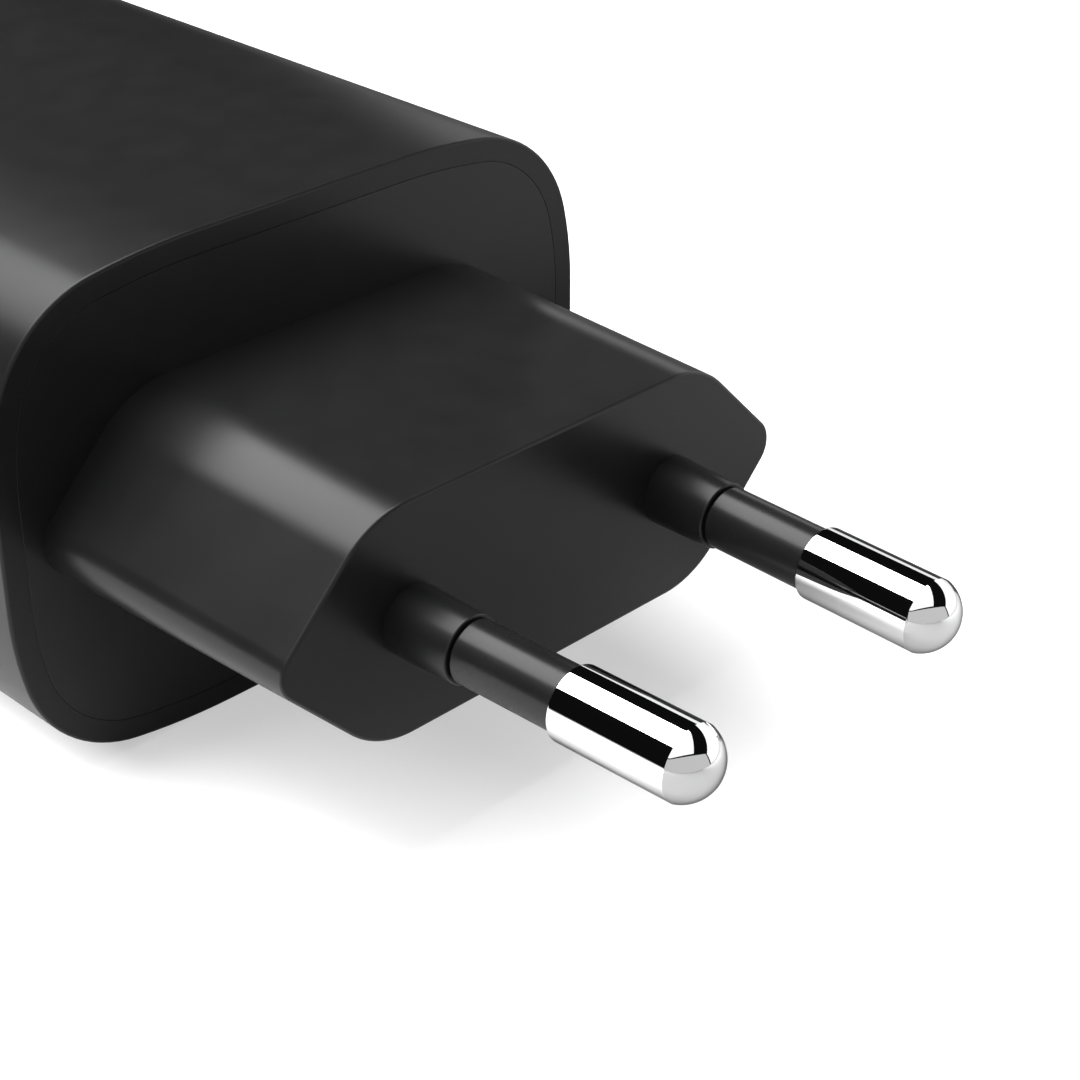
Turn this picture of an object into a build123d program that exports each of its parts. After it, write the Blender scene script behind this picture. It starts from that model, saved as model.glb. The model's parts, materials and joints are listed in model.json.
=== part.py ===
from build123d import *
from math import acos, atan, atan2, cos, degrees, radians, sin, sqrt, tan
import os

# A wall charger with a two-pin flat plug, lying on its broad side.
# +Z is up, +Y runs from the plug to the USB sockets, and X runs across both pins.
# The origin is under the middle of the whole object, on the surface it lies on.
# Everything is in millimetres.

os.makedirs("parts", exist_ok=True)

# Body
body_width = 41.5
body_height = 29.0
body_length = 47.0
crown_flat = 14.0         # flat strip along the middle of the top and of the bottom
crown_radius = 42.0       # gentle arc from that strip to the corner
cheek_flat = 6.0          # flat strip along the middle of each side
cheek_radius = 21.0
corner_radius = 8.0
shell_wall = 2.2
rear_wall = 2.4
rim_wall = 1.4            # shell around the plug cover
rear_edge_radius = 2.5
front_edge_radius = 0.2

# Plug cover and its neck
cover_thickness = 2.6
cover_gap = 0.05
neck_length = 18.4
neck_width = 35.3         # across the rounded side vertices, at the engagement face
neck_height = 13.3
neck_top_width = 23.6     # between the sharp upper vertices, before rounding
neck_top_radius = 5.6
neck_side_radius = 1.65
neck_draft = 1.78         # degrees on each side
vertex_rounds = 30        # repeats that settle the sharp side vertex under its rounding
neck_wall = 1.8
neck_root_fillet = 0.15
face_wall = 2.0
face_edge_radius = 0.2

# Plug pins, measured from the engagement face along each pin's own axis
pin_reach = 19.3
pin_radius = 2.0
pin_spacing_face = 18.7
pin_spacing_tip = 17.5
pin_bare_length = 8.6
pin_edge_chamfer = 0.15
nose_height = 1.5         # domed end of the pin, a little flatter than a half sphere
shank_radius = 1.1
tail_length = 9.5
flange_radius = 2.4
flange_thickness = 1.0
flange_gap = 0.25         # along the pin, on each face of the flange
sleeve_radius = 1.72
sleeve_chamfer = 0.1
liner_radius = 1.3
liner_inset = 0.2         # liner end, back from the inner side of the face wall
collar_length = 4.1
collar_root_radius = 1.95
collar_mouth_radius = 1.86
collar_mouth_round = 0.12
collar_fillet = 0.15
ring_gap = 0.2

# Each pin leans about a vertical line through the waist of its bore
pivot_reach = 1.0
waist_length = 0.6
waist_clearance = 0.06
mouth_clearance = 0.22
inner_clearance = 0.36

# Retainer behind the engagement face, and the fork that takes each pin's tail
retainer_thickness = 4.0
retainer_clearance = 0.15
flange_clearance = 0.35
tail_clearance = 0.55
fork_clearance = 0.06
fork_grip = 2.4
fork_end_gap = 0.6
strip_thickness = 0.4
strip_width = 3.6
strip_foot_length = 2.0

# Boards
board_thickness = 1.2
board_side_clearance = 1.0
board_front_gap = 1.0
board_rear_gap = 0.4
rail_thickness = 1.1
rail_clearance = 0.1
rail_overlap = 1.0
port_board_margin = 0.6
port_board_top_gap = 2.0
tab_width = 4.0
tab_clearance = 0.1

# Linings under the top of the shell
wrap_gap = 0.25
wrap_thickness = 0.3
spreader_gap = 0.15
spreader_thickness = 0.5
lining_clearance = 0.8    # from the heat spreader to the tallest parts
lining_end_gap = 1.0
base_sheet_thickness = 0.3
base_sheet_gap = 0.2

# USB sockets
port_depth = 11.0
port_recess = 0.5
port_gap = 4.0            # between the two metal shells
port_clearance = 0.15
port_chamfer = 0.4
port_board_drop = 1.5     # from the larger shell down to the main board
metal_sheet = 0.3
a_opening = (12.5, 5.12)
a_corner_radius = 0.5
a_block_depth = 2.2
a_tongue_width = 11.1
a_tongue_thickness = 1.84
a_tongue_top_gap = 0.67
a_tongue_recess = 1.2
a_contact_places = (-3.5, -1.0, 1.0, 3.5)
a_contact_width = 1.0
a_contact_thickness = 0.2
a_groove_width = 1.4
a_groove_depth = 1.0
a_groove_end = 0.5        # from the end of the groove to the tip of the tongue
a_contact_length = 6.8    # out of the block
a_contact_root = 0.8      # inside the block
a_root_clearance = 0.1
a_contact_bend = 1.9      # from the block to the spring's first bend
a_contact_crest = 5.6     # from the block to the spring's crest
a_contact_bow = 0.5       # how far the crest stands out of the groove
a_contact_seat = 0.4      # centre of the spring's root, inside the groove
a_tail_length = 0.6       # beyond the port board
a_tail_clearance = 0.1
c_opening = (8.34, 2.56)
c_block_depth = 3.6
c_tongue_width = 6.69
c_tongue_thickness = 0.7
c_tongue_recess = 0.9
c_contact_count = 12
c_contact_pitch = 0.5
c_contact_size = (0.25, 4.2, 0.04)
c_contact_setback = 0.5

# Transformer
core_width = 16.0
core_length = 14.0
core_back = 2.4
core_outer_leg = 2.2
core_centre_leg = 4.6
core_gap = 0.1            # air gap between the centre legs
bobbin_clearance = 0.12
bobbin_wall = 0.5
bobbin_stand = 0.3
winding_depth = 2.2
tape_thickness = 0.2
flange_rim = 0.25         # bobbin flange beyond the tape
port_board_gap = 1.0      # from the transformer to the port board

# Other parts on the main board, across, along and up
part_gap = 0.8
lead_radius = 0.3
bulk_radius = 4.5
bulk_edge_radius = 0.5
output_radius = 3.15
output_height = 9.0
output_edge_radius = 0.4
x_capacitor_width = 11.0
x_capacitor_height = 10.0
x_capacitor_radius = 0.5
y_capacitor_radius = 3.6
y_capacitor_thickness = 2.6
y_capacitor_round = 0.7
fuse_radius = 1.9
fuse_length = 8.6
fuse_cap_length = 1.6
fuse_cap_depth = 0.25
fuse_stand = 0.5
thermistor_radius = 2.9
thermistor_thickness = 2.2
thermistor_round = 0.5
choke_outer_radius = 4.2
choke_inner_radius = 2.2
choke_winding = 0.8
choke_parting = 1.6       # between the two windings
choke_stand = 0.4
edge_margin = 0.6         # from a part to the side of the board
bridge_size = (8.0, 6.0, 1.6)
switch_chip_size = (8.0, 8.0, 0.9)
rectifier_chip_size = (5.0, 6.0, 1.0)
protocol_chip_size = (4.0, 4.0, 0.9)
optocoupler_size = (4.6, 6.5, 2.1)
chip_chamfer = 0.2
resistor_size = (2.0, 1.25, 0.5)
resistor_count = 4
resistor_pitch = 2.6

# Stations along the length, and levels
axis_z = body_height / 2
total_length = pin_reach + neck_length + body_length
tip_y = -total_length / 2
face_y = tip_y + pin_reach
front_y = face_y + neck_length
rear_y = total_length / 2
seat_y = front_y + cover_thickness
a_shell_height = a_opening[1] + 2 * metal_sheet
a_shell_width = a_opening[0] + 2 * metal_sheet
c_shell_width = c_opening[0] + 2 * metal_sheet
c_shell_height = c_opening[1] + 2 * metal_sheet
board_top_z = axis_z - a_shell_height / 2 - port_board_drop
board_bottom_z = board_top_z - board_thickness
lining_depth = shell_wall + wrap_gap + wrap_thickness + spreader_gap + spreader_thickness
ceiling_z = body_height - lining_depth - lining_clearance
tall_height = ceiling_z - board_top_z
board_front_y = seat_y + board_front_gap
board_rear_y = rear_y - rear_wall - board_rear_gap
board_length = board_rear_y - board_front_y
board_width = body_width - 2 * (shell_wall + board_side_clearance)
port_mouth_y = rear_y - port_recess
port_back_y = port_mouth_y - port_depth
port_board_y = port_back_y - board_thickness / 2
ports_width = a_shell_width + port_gap + c_shell_width
a_port_x = (a_shell_width - ports_width) / 2
c_port_x = (ports_width - c_shell_width) / 2

# Pin axes
pin_lean = atan((pin_spacing_face - pin_spacing_tip) / 2 / pin_reach)
nose_radius = (pin_radius**2 + nose_height**2) / (2 * nose_height)
pin_length = (pin_reach - nose_radius) / cos(pin_lean) + nose_radius
sleeve_end = pin_length - pin_bare_length
sides = {"left": -1, "right": 1}


def section_plane(y):
    # Upright plane across the length: its own x is X, its own y is Z, and it faces the plug's tip.
    return Plane(origin=(0, y, axis_z), x_dir=(1, 0, 0), z_dir=(0, -1, 0))


def side_plane(x):
    # Upright plane along the length: its own x is Y, its own y is Z.
    return Plane(origin=(x, 0, 0), x_dir=(0, 1, 0), z_dir=(1, 0, 0))


def body_section(y, inset=0.0):
    # Flat strips, gentle arcs and tighter corner arcs, all tangent; one quarter is drawn and mirrored.
    crown_centre = Vector(crown_flat / 2, body_height / 2 - crown_radius)
    cheek_centre = Vector(body_width / 2 - cheek_radius, cheek_flat / 2)
    crown_reach = crown_radius - corner_radius
    cheek_reach = cheek_radius - corner_radius
    link = cheek_centre - crown_centre
    along = (link.length**2 + crown_reach**2 - cheek_reach**2) / (2 * link.length)
    across = sqrt(crown_reach**2 - along**2)
    step = link.normalized()
    corner = crown_centre + step * along + Vector(step.Y, -step.X) * across
    crown_turn = degrees(atan2(corner.X - crown_centre.X, corner.Y - crown_centre.Y))
    cheek_turn = degrees(atan2(corner.Y - cheek_centre.Y, corner.X - cheek_centre.X))
    with BuildSketch(section_plane(y)) as section:
        with BuildLine():
            top = Line((0, body_height / 2), (crown_flat / 2, body_height / 2))
            crown = JernArc(top @ 1, top % 1, crown_radius, -crown_turn)
            bend = JernArc(crown @ 1, crown % 1, corner_radius, crown_turn + cheek_turn - 90)
            cheek = JernArc(bend @ 1, bend % 1, cheek_radius, -cheek_turn)
            Line(cheek @ 1, (body_width / 2, 0))
            mirror(about=Plane.YZ)
            mirror(about=Plane.XZ)
        make_face()
        if inset:
            offset(amount=-inset)
    return section.sketch


def neck_section(y, inset=0.0):
    # Six-sided section with rounded vertices. It grows away from the engagement face by the draft.
    side_x = neck_width / 2
    for _ in range(vertex_rounds):
        slope = atan2(neck_height / 2, side_x - neck_top_width / 2)
        side_x = neck_width / 2 + neck_side_radius * (1 / sin(slope) - 1)
    top_x = neck_top_width / 2
    top_z = neck_height / 2
    with BuildSketch(section_plane(y)) as section:
        with BuildLine():
            FilletPolyline(
                (-side_x, 0),
                (-top_x, top_z),
                (top_x, top_z),
                (side_x, 0),
                (top_x, -top_z),
                (-top_x, -top_z),
                radius=[neck_side_radius, neck_top_radius, neck_top_radius] * 2,
                close=True,
            )
        make_face()
        offset(amount=(y - face_y) * tan(radians(neck_draft)) - inset)
    return section.sketch


def pin_base(x_sign):
    return Vector(x_sign * pin_spacing_face / 2, face_y, axis_z)


def pin_direction(x_sign):
    return Vector(-x_sign * sin(pin_lean), -cos(pin_lean), 0)


def pin_plane(x_sign):
    # Its own x is the distance from the pin's axis, its own y the distance out of the face.
    outward = pin_direction(x_sign)
    across = Vector(-outward.Y, outward.X, 0)
    return Plane(origin=pin_base(x_sign), x_dir=across, z_dir=across.cross(outward))


def pin_axis(x_sign):
    return Axis(pin_base(x_sign), pin_direction(x_sign))


def on_board(x, y, height=0.0):
    return Plane(origin=(x, y, board_top_z + height))


def under_board(x, y):
    return Plane(origin=(x, y, board_bottom_z), x_dir=(1, 0, 0), z_dir=(0, 0, -1))


seated = (Align.CENTER, Align.CENTER, Align.MIN)

# Housing shell: a deep cup, closed at the USB end, with rails for the main board
rail_inner_x = board_width / 2 - rail_overlap
rail_outer_x = body_width / 2 - shell_wall / 2
rail_size = (rail_outer_x - rail_inner_x, rear_y - rear_wall - board_front_y, rail_thickness)
rail_x = (rail_inner_x + rail_outer_x) / 2
rail_y = (rear_y - rear_wall + board_front_y) / 2
rail_levels = (
    board_top_z + rail_clearance + rail_thickness / 2,
    board_bottom_z - rail_clearance - rail_thickness / 2,
)
with BuildPart() as housing_shell:
    extrude(body_section(rear_y), amount=body_length)
    fillet(housing_shell.edges().group_by(Axis.Y)[-1], radius=rear_edge_radius)
    fillet(housing_shell.edges().group_by(Axis.Y)[0], radius=front_edge_radius)
    extrude(body_section(rear_y - rear_wall, shell_wall), amount=body_length, mode=Mode.SUBTRACT)
    extrude(body_section(seat_y, rim_wall), amount=body_length, mode=Mode.SUBTRACT)
    with Locations([(s * rail_x, rail_y, z) for s in sides.values() for z in rail_levels]):
        Box(*rail_size)
    with BuildSketch(section_plane(rear_y)) as port_openings:
        with Locations((a_port_x, 0)):
            RectangleRounded(
                a_shell_width + 2 * port_clearance,
                a_shell_height + 2 * port_clearance,
                radius=a_corner_radius + metal_sheet + port_clearance,
            )
        with Locations((c_port_x, 0)):
            SlotOverall(c_shell_width + 2 * port_clearance, c_shell_height + 2 * port_clearance)
    extrude(amount=2 * rear_wall, mode=Mode.SUBTRACT)
    rear_face = housing_shell.faces().sort_by(Axis.Y)[-1]
    chamfer(rear_face.inner_wires().edges(), length=port_chamfer)
housing_shell.part.label = "housing_shell"
export_step(housing_shell.part, "parts/housing_shell.step")

# Plug cover: a plate let into the shell's mouth, the six-sided neck, and a collar for each pin
with BuildPart() as plug_cover:
    extrude(body_section(seat_y, rim_wall + cover_gap), amount=cover_thickness)
    loft([neck_section(front_y), neck_section(face_y)], ruled=True)
    front_edges = plug_cover.faces().filter_by(Axis.Y).sort_by(Axis.Y)[0].edges()
    fillet(front_edges, radius=face_edge_radius)
    plate_face = plug_cover.faces().filter_by(Axis.Y).sort_by(Axis.Y)[1]
    fillet(plate_face.inner_wires().edges(), radius=neck_root_fillet)
    for x_sign in sides.values():
        with BuildSketch(pin_plane(x_sign)) as collar_profile:
            with BuildLine():
                Polyline(
                    (0, -face_wall / 2),
                    (collar_root_radius, -face_wall / 2),
                    (collar_root_radius, 0),
                    (collar_mouth_radius, collar_length),
                    (0, collar_length),
                    close=True,
                )
            make_face()
        revolve(axis=pin_axis(x_sign))
    face_plane = plug_cover.faces().filter_by(Axis.Y).filter_by(lambda f: abs(f.center().Y - face_y) < 0.01)
    fillet(face_plane[0].inner_wires().edges(), radius=collar_fillet)
    mouths = [plug_cover.faces().filter_by(pin_axis(s)).sort_by(pin_axis(s))[-1] for s in sides.values()]
    fillet([edge for mouth in mouths for edge in mouth.edges()], radius=collar_mouth_round)
    loft(
        [neck_section(seat_y, neck_wall), neck_section(face_y + face_wall, neck_wall)],
        ruled=True,
        mode=Mode.SUBTRACT,
    )
    for x_sign in sides.values():
        with BuildSketch(pin_plane(x_sign)) as bore_profile:
            with BuildLine():
                Polyline(
                    (0, -face_wall - 1),
                    (liner_radius + inner_clearance, -face_wall - 1),
                    (liner_radius + inner_clearance, -face_wall),
                    (liner_radius + waist_clearance, pivot_reach - waist_length / 2),
                    (liner_radius + waist_clearance, pivot_reach + waist_length / 2),
                    (liner_radius + mouth_clearance, collar_length),
                    (0, collar_length),
                    close=True,
                )
            make_face()
        revolve(axis=pin_axis(x_sign), mode=Mode.SUBTRACT)
plug_cover.part.label = "plug_cover"
export_step(plug_cover.part, "parts/plug_cover.step")

# Plug pins: a solid round-nosed pin, turned down to a shank with a holding flange, in a sleeve
flange_front = -face_wall - flange_gap
flange_back = flange_front - flange_thickness
nose_start = pin_length - nose_height
nose_rise = degrees(acos(pin_radius / nose_radius))
for side, x_sign in sides.items():
    with BuildPart() as plug_pin:
        with BuildSketch(pin_plane(x_sign)) as pin_profile:
            with BuildLine():
                body_line = Polyline(
                    (0, -tail_length),
                    (shank_radius, -tail_length),
                    (shank_radius, flange_back),
                    (flange_radius, flange_back),
                    (flange_radius, flange_front),
                    (shank_radius, flange_front),
                    (shank_radius, sleeve_end),
                    (pin_radius - pin_edge_chamfer, sleeve_end),
                    (pin_radius, sleeve_end + pin_edge_chamfer),
                    (pin_radius, nose_start),
                )
                nose = CenterArc((0, pin_length - nose_radius), nose_radius, nose_rise, 90 - nose_rise)
                Line(nose @ 1, body_line @ 0)
            make_face()
        revolve(axis=pin_axis(x_sign))
    plug_pin.part.label = f"plug_pin_{side}"
    export_step(plug_pin.part, f"parts/plug_pin_{side}.step")

    sleeve_start = collar_length + ring_gap
    with BuildPart() as pin_sleeve:
        with BuildSketch(pin_plane(x_sign)) as sleeve_profile:
            with BuildLine():
                Polyline(
                    (shank_radius, -face_wall + liner_inset),
                    (liner_radius, -face_wall + liner_inset),
                    (liner_radius, sleeve_start),
                    (sleeve_radius - sleeve_chamfer, sleeve_start),
                    (sleeve_radius, sleeve_start + sleeve_chamfer),
                    (sleeve_radius, sleeve_end),
                    (shank_radius, sleeve_end),
                    close=True,
                )
            make_face()
        revolve(axis=pin_axis(x_sign))
    pin_sleeve.part.label = f"pin_sleeve_{side}"
    export_step(pin_sleeve.part, f"parts/pin_sleeve_{side}.step")

# Pin retainer: fills the neck behind the engagement face and holds the pins by their flanges
retainer_front_y = face_y + face_wall
retainer_back_y = retainer_front_y + retainer_thickness
retainer_inset = neck_wall + retainer_clearance
with BuildPart() as pin_retainer:
    loft(
        [neck_section(retainer_back_y, retainer_inset), neck_section(retainer_front_y, retainer_inset)],
        ruled=True,
    )
    for x_sign in sides.values():
        with BuildSketch(pin_plane(x_sign)) as pocket_profile:
            with BuildLine():
                Polyline(
                    (0, 0),
                    (flange_radius + flange_clearance, 0),
                    (flange_radius + flange_clearance, flange_back - flange_gap),
                    (shank_radius + tail_clearance, flange_back - flange_gap),
                    (shank_radius + tail_clearance, -tail_length),
                    (0, -tail_length),
                    close=True,
                )
            make_face()
        revolve(axis=pin_axis(x_sign), mode=Mode.SUBTRACT)
pin_retainer.part.label = "pin_retainer"
export_step(pin_retainer.part, "parts/pin_retainer.step")

# Contact strips: a fork over and under each pin's tail, an arm along the neck and a foot on the board
fork_offset = shank_radius + fork_clearance + strip_thickness / 2
tail_end_y = face_y + tail_length * cos(pin_lean)
web_y = tail_end_y + fork_end_gap
leg_y = board_front_y + strip_foot_length / 2
fork_length = web_y - tail_end_y + fork_grip
arm_length = leg_y - web_y
leg_height = axis_z - board_top_z
for side, x_sign in sides.items():
    strip_x = x_sign * (pin_spacing_face / 2 + tail_length * sin(pin_lean))
    with BuildPart() as contact_strip:
        with BuildSketch(side_plane(strip_x)) as strip_profile:
            with Locations((web_y - fork_length / 2, axis_z)):
                with Locations((0, fork_offset), (0, -fork_offset)):
                    Rectangle(fork_length, strip_thickness)
            with Locations((web_y, axis_z)):
                Rectangle(strip_thickness, 2 * fork_offset + strip_thickness)
            with Locations((web_y + arm_length / 2, axis_z)):
                Rectangle(arm_length + strip_thickness, strip_thickness)
            with Locations((leg_y, axis_z - leg_height / 2)):
                Rectangle(strip_thickness, leg_height)
            with Locations((leg_y, board_top_z + strip_thickness / 2)):
                Rectangle(strip_foot_length, strip_thickness)
        extrude(amount=strip_width / 2, both=True)
    contact_strip.part.label = f"contact_strip_{side}"
    export_step(contact_strip.part, f"parts/contact_strip_{side}.step")

# Main board, in the shell's rails, with slots for the port board's tabs
tab_x = board_width / 2 - rail_overlap - port_board_margin - tab_width
tab_places = [(s * tab_x, port_board_y) for s in sides.values()]
with BuildPart(Plane.XY.offset(board_bottom_z)) as main_board:
    with Locations((0, (board_front_y + board_rear_y) / 2)):
        Box(board_width, board_length, board_thickness, align=seated)
    with Locations(*tab_places):
        Box(
            tab_width + 2 * tab_clearance,
            board_thickness + 2 * tab_clearance,
            board_thickness,
            align=seated,
            mode=Mode.SUBTRACT,
        )
main_board.part.label = "main_board"
export_step(main_board.part, "parts/main_board.step")

# Port board, with slots for the solder tails, standing on the main board behind both sockets
a_tongue_top = a_opening[1] / 2 - a_tongue_top_gap
a_tongue_bottom = a_tongue_top - a_tongue_thickness
a_tail_section = (a_contact_width / 2, a_contact_thickness)
a_tail_level = a_tongue_bottom - a_contact_thickness / 2
port_board_width = 2 * (board_width / 2 - rail_overlap - port_board_margin)
port_board_height = ceiling_z - port_board_top_gap - board_top_z
with BuildPart(Plane.XY.offset(board_top_z)) as port_board:
    with Locations((0, port_board_y)):
        Box(port_board_width, board_thickness, port_board_height, align=seated)
    chamfered = port_board.edges().filter_by(Axis.Y).group_by(Axis.Z)[-1]
    chamfer(chamfered, length=port_board_top_gap)
    with Locations(*tab_places):
        Box(tab_width, board_thickness, board_thickness, align=(Align.CENTER, Align.CENTER, Align.MAX))
    with BuildSketch(section_plane(port_back_y)) as tail_slots:
        with Locations([(a_port_x + x, a_tail_level) for x in a_contact_places]):
            Rectangle(*[size + 2 * a_tail_clearance for size in a_tail_section])
    extrude(amount=-2 * board_thickness, both=True, mode=Mode.SUBTRACT)
port_board.part.label = "port_board"
export_step(port_board.part, "parts/port_board.step")

# Larger USB socket: a drawn metal shell, a moulded block with its tongue, springs and solder tails
a_block_front_y = port_back_y + a_block_depth
with BuildPart() as usb_a_shell:
    with BuildSketch(section_plane(port_back_y)) as a_tube:
        with Locations((a_port_x, 0)):
            RectangleRounded(a_shell_width, a_shell_height, radius=a_corner_radius + metal_sheet)
            RectangleRounded(*a_opening, radius=a_corner_radius, mode=Mode.SUBTRACT)
    extrude(amount=-port_depth)
usb_a_shell.part.label = "usb_a_shell"
export_step(usb_a_shell.part, "parts/usb_a_shell.step")

groove_z = axis_z + a_tongue_bottom
a_tongue_length = port_depth - a_tongue_recess
groove_length = a_tongue_length - a_block_depth - a_groove_end
with BuildPart() as usb_a_tongue:
    with BuildSketch(section_plane(port_back_y)) as a_block:
        with Locations((a_port_x, 0)):
            RectangleRounded(*a_opening, radius=a_corner_radius)
    extrude(amount=-a_block_depth)
    with BuildSketch(section_plane(port_back_y)) as a_tongue_section:
        with Locations((a_port_x, (a_tongue_top + a_tongue_bottom) / 2)):
            Rectangle(a_tongue_width, a_tongue_thickness)
    extrude(amount=-a_tongue_length)
    grooves_plane = section_plane(a_block_front_y)
    with BuildSketch(grooves_plane) as groove_sections:
        with Locations([(a_port_x + x, a_tongue_bottom) for x in a_contact_places]):
            Rectangle(a_groove_width, 2 * a_groove_depth)
    extrude(amount=-groove_length, mode=Mode.SUBTRACT)
    with BuildSketch(grooves_plane) as root_sections:
        with Locations([(a_port_x + x, a_tongue_bottom + a_contact_seat) for x in a_contact_places]):
            Rectangle(*[size + 2 * a_root_clearance for size in (a_contact_width, a_contact_thickness)])
    extrude(amount=a_contact_root + a_root_clearance, mode=Mode.SUBTRACT)
usb_a_tongue.part.label = "usb_a_tongue"
export_step(usb_a_tongue.part, "parts/usb_a_tongue.step")

spring_z = groove_z + a_contact_seat
crest_z = groove_z - a_contact_bow + a_contact_thickness / 2
spring_root_y = a_block_front_y
with BuildPart() as usb_a_contacts:
    for x in a_contact_places:
        with BuildSketch(side_plane(a_port_x + x)) as spring_profile:
            with BuildLine():
                Polyline(
                    (spring_root_y - a_contact_root, spring_z + a_contact_thickness / 2),
                    (spring_root_y + a_contact_bend, spring_z + a_contact_thickness / 2),
                    (spring_root_y + a_contact_crest, crest_z + a_contact_thickness / 2),
                    (spring_root_y + a_contact_length, spring_z + a_contact_thickness / 2),
                    (spring_root_y + a_contact_length, spring_z - a_contact_thickness / 2),
                    (spring_root_y + a_contact_crest, crest_z - a_contact_thickness / 2),
                    (spring_root_y + a_contact_bend, spring_z - a_contact_thickness / 2),
                    (spring_root_y - a_contact_root, spring_z - a_contact_thickness / 2),
                    close=True,
                )
            make_face()
        extrude(amount=a_contact_width / 2, both=True)
usb_a_contacts.part.label = "usb_a_contacts"
export_step(usb_a_contacts.part, "parts/usb_a_contacts.step")

# Solder tails of the springs, from the block through the port board
tail_span = a_tail_length + board_thickness
with BuildPart() as usb_a_tails:
    with BuildSketch(section_plane(port_back_y)) as tail_sections:
        with Locations([(a_port_x + x, a_tail_level) for x in a_contact_places]):
            Rectangle(*a_tail_section)
    extrude(amount=tail_span)
usb_a_tails.part.label = "usb_a_tails"
export_step(usb_a_tails.part, "parts/usb_a_tails.step")

# Smaller USB socket: a round-ended shell, a centre tongue and contact pads on both its faces
with BuildPart() as usb_c_shell:
    with BuildSketch(section_plane(port_back_y)) as c_tube:
        with Locations((c_port_x, 0)):
            SlotOverall(c_shell_width, c_shell_height)
            SlotOverall(*c_opening, mode=Mode.SUBTRACT)
    extrude(amount=-port_depth)
usb_c_shell.part.label = "usb_c_shell"
export_step(usb_c_shell.part, "parts/usb_c_shell.step")

c_tongue_end_y = port_mouth_y - c_tongue_recess
with BuildPart() as usb_c_tongue:
    with BuildSketch(section_plane(port_back_y)) as c_block:
        with Locations((c_port_x, 0)):
            SlotOverall(*c_opening)
    extrude(amount=-c_block_depth)
    with BuildSketch(section_plane(port_back_y)) as c_tongue_section:
        with Locations((c_port_x, 0)):
            Rectangle(c_tongue_width, c_tongue_thickness)
    extrude(amount=-(c_tongue_end_y - port_back_y))
    tongue_tip = usb_c_tongue.faces().sort_by(Axis.Y)[-1]
    chamfer(tongue_tip.edges().filter_by(Axis.Z), length=c_tongue_thickness / 2)
usb_c_tongue.part.label = "usb_c_tongue"
export_step(usb_c_tongue.part, "parts/usb_c_tongue.step")

c_contact_y = c_tongue_end_y - c_contact_setback - c_contact_size[1] / 2
c_contact_level = (c_tongue_thickness + c_contact_size[2]) / 2
with BuildPart(Plane(origin=(c_port_x, c_contact_y, axis_z))) as usb_c_contacts:
    with Locations((0, 0, c_contact_level), (0, 0, -c_contact_level)):
        with GridLocations(c_contact_pitch, 0, c_contact_count, 1):
            Box(*c_contact_size)
usb_c_contacts.part.label = "usb_c_contacts"
export_step(usb_c_contacts.part, "parts/usb_c_contacts.step")

# Transformer: two E-shaped core halves, a bobbin, the winding on it and the tape round the winding
transformer_y = port_board_y - board_thickness / 2 - port_board_gap - core_length / 2
transformer_height = tall_height - bobbin_stand
transformer_z = board_top_z + bobbin_stand + transformer_height / 2
window_width = (core_width - core_centre_leg) / 2 - core_outer_leg
winding_reach = bobbin_clearance + bobbin_wall + winding_depth
core_thickness = transformer_height - 2 * (winding_reach + tape_thickness + flange_rim)
transformer_plane = Plane(origin=(0, transformer_y, transformer_z))
for end, y_sign in (("front", -1), ("rear", 1)):
    with BuildPart(transformer_plane) as core_half:
        with BuildSketch(transformer_plane) as e_shape:
            with Locations((0, y_sign * core_length / 4)):
                Rectangle(core_width, core_length / 2)
            window_length = core_length / 2 - core_back
            window_x = (core_centre_leg + window_width) / 2
            with Locations([(s * window_x, y_sign * window_length / 2) for s in sides.values()]):
                Rectangle(window_width, window_length, mode=Mode.SUBTRACT)
            with Locations((0, y_sign * core_gap / 4)):
                Rectangle(core_centre_leg, core_gap / 2, mode=Mode.SUBTRACT)
        extrude(amount=core_thickness / 2, both=True)
    core_half.part.label = f"transformer_core_{end}"
    export_step(core_half.part, f"parts/transformer_core_{end}.step")

coil_plane = Plane(origin=(0, transformer_y, transformer_z), x_dir=(1, 0, 0), z_dir=(0, -1, 0))
bobbin_length = core_length - 2 * (core_back + bobbin_clearance)
coil_length = bobbin_length - 2 * bobbin_wall
bore_size = (core_centre_leg + 2 * bobbin_clearance, core_thickness + 2 * bobbin_clearance)
tube_size = (bore_size[0] + 2 * bobbin_wall, bore_size[1] + 2 * bobbin_wall)
coil_size = (tube_size[0] + 2 * winding_depth, tube_size[1] + 2 * winding_depth)
tape_size = (coil_size[0] + 2 * tape_thickness, coil_size[1] + 2 * tape_thickness)
with BuildPart() as transformer_bobbin:
    with BuildSketch(coil_plane) as bobbin_tube:
        Rectangle(*tube_size)
    extrude(amount=bobbin_length / 2, both=True)
    for flange_start in (bobbin_length / 2 - bobbin_wall, -bobbin_length / 2):
        with BuildSketch(coil_plane.offset(flange_start)) as bobbin_flange:
            Rectangle(tape_size[0], tape_size[1] + 2 * flange_rim)
        extrude(amount=bobbin_wall)
    with BuildSketch(coil_plane) as bobbin_bore:
        Rectangle(*bore_size)
    extrude(amount=bobbin_length, both=True, mode=Mode.SUBTRACT)
transformer_bobbin.part.label = "transformer_bobbin"
export_step(transformer_bobbin.part, "parts/transformer_bobbin.step")

with BuildPart() as transformer_winding:
    with BuildSketch(coil_plane) as coil_section:
        RectangleRounded(*coil_size, radius=winding_depth / 2)
        Rectangle(*tube_size, mode=Mode.SUBTRACT)
    extrude(amount=coil_length / 2, both=True)
transformer_winding.part.label = "transformer_winding"
export_step(transformer_winding.part, "parts/transformer_winding.step")

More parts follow.
